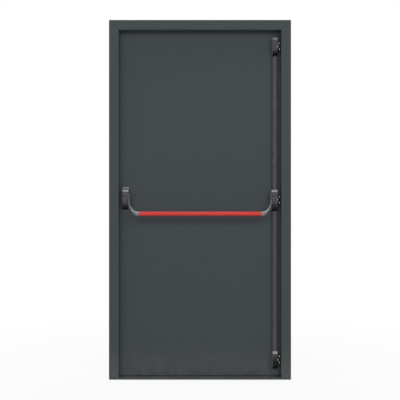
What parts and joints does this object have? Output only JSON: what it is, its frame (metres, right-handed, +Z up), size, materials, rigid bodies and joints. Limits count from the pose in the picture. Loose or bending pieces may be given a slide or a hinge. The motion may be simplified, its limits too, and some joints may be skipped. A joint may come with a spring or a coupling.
{
  "type": "emergency exit door with push bar",
  "caption": "Single steel personnel door in a folded steel frame, hung on the outside, with a red push bar whose rods draw side latches at the top, the middle and the bottom.",
  "frame": {"origin": "middle of the threshold's underside, half way through the frame's depth", "axes": "+X along the wall from the hinge side to the lock side, +Y from the push side to the outside, +Z up"},
  "size_m": [1.02, 0.1851, 2.015],
  "materials": {
    "frame_paint": "satin powder coat, blue grey",
    "leaf_paint": "satin powder coat, blue grey",
    "zinc_sheet": "zinc coated, dull",
    "honeycomb": "open honeycomb board",
    "seal_rubber": "matt black",
    "black_paint": "black, half matt",
    "bright_steel": "bright zinc",
    "bush_metal": "turned",
    "case_paint": "satin dark grey",
    "rod_cover_metal": "dark satin anodised",
    "guide_plastic": "black",
    "arm_metal": "satin silver",
    "red_paint": "satin red"
  },
  "bodies": {
    "frame": {"hinge_jamb": "frame_paint", "lock_jamb": "frame_paint", "head": "frame_paint", "threshold": "frame_paint", "stop_seal": "seal_rubber", "top_strike": "black_paint", "centre_strike": "black_paint", "bottom_strike": "black_paint", "strike_screws": "bright_steel", "upper_hinge_frame_plate": "bright_steel", "middle_hinge_frame_plate": "bright_steel", "lower_hinge_frame_plate": "bright_steel", "upper_hinge_pin": "bright_steel", "middle_hinge_pin": "bright_steel", "lower_hinge_pin": "bright_steel", "hinge_washers": "bush_metal", "hinge_frame_screws": "bright_steel"},
    "door": {"outer_skin": "leaf_paint", "inner_skin": "leaf_paint", "leaf_core": "honeycomb", "hinge_stile": "zinc_sheet", "lock_stile": "zinc_sheet", "top_rail": "zinc_sheet", "bottom_rail": "zinc_sheet", "upper_hinge_leaf_plate": "bright_steel", "middle_hinge_leaf_plate": "bright_steel", "lower_hinge_leaf_plate": "bright_steel", "hinge_leaf_screws": "bright_steel", "pivot_base": "case_paint", "pivot_cover": "case_paint", "pivot_bushes": "bush_metal", "centre_chassis": "zinc_sheet", "centre_cover": "case_paint", "centre_bushes": "bush_metal", "top_latch_chassis": "case_paint", "top_latch_cover": "case_paint", "bottom_latch_chassis": "case_paint", "bottom_latch_cover": "case_paint", "upper_rod_cover": "rod_cover_metal", "lower_rod_cover": "rod_cover_metal", "rod_guides": "guide_plastic", "gear_screws": "bright_steel", "return_spring": "bright_steel"},
    "push_bar": {"push_tube": "red_paint", "left_arm": "arm_metal", "right_arm": "arm_metal", "left_shaft": "bright_steel", "right_shaft": "bright_steel", "rocker": "bright_steel", "arm_screws": "bright_steel"},
    "rods": {"slider": "zinc_sheet", "upper_rod": "zinc_sheet", "lower_rod": "zinc_sheet", "top_cam": "zinc_sheet", "bottom_cam": "zinc_sheet"},
    "top_bolt": {"top_bolt": "bright_steel"},
    "centre_bolt": {"centre_bolt": "bright_steel"},
    "bottom_bolt": {"bottom_bolt": "bright_steel"}
  },
  "joints": [
    {"name": "door_swing", "type": "hinge", "parent": "frame", "child": "door", "pos_m": [-0.472, 0.058, 1], "axis": [0, 0, 1], "range_deg": [0, 170]},
    {"name": "bar_press", "type": "hinge", "parent": "door", "child": "push_bar", "pos_m": [0, -0.03, 1.027], "axis": [1, 0, 0], "range_deg": [0, 24], "stiffness_Nm_per_rad": 6, "springref_deg": -28.65},
    {"name": "rod_slide", "type": "slide", "parent": "door", "child": "rods", "axis": [0, 0, 1], "range_m": [0, 0.00915], "deforming": ["return_spring"]},
    {"name": "top_bolt_slide", "type": "slide", "parent": "door", "child": "top_bolt", "axis": [-1, 0, 0], "range_m": [0, 0.011]},
    {"name": "centre_bolt_slide", "type": "slide", "parent": "door", "child": "centre_bolt", "axis": [-1, 0, 0], "range_m": [0, 0.011]},
    {"name": "bottom_bolt_slide", "type": "slide", "parent": "door", "child": "bottom_bolt", "axis": [-1, 0, 0], "range_m": [0, 0.011]}
  ],
  "couplings": [
    {"joint": "rod_slide", "follows": "bar_press", "m_per_rad": 0.021839},
    {"joint": "top_bolt_slide", "follows": "bar_press", "m_per_rad": 0.02626},
    {"joint": "centre_bolt_slide", "follows": "bar_press", "m_per_rad": 0.02626},
    {"joint": "bottom_bolt_slide", "follows": "bar_press", "m_per_rad": 0.02626}
  ]
}
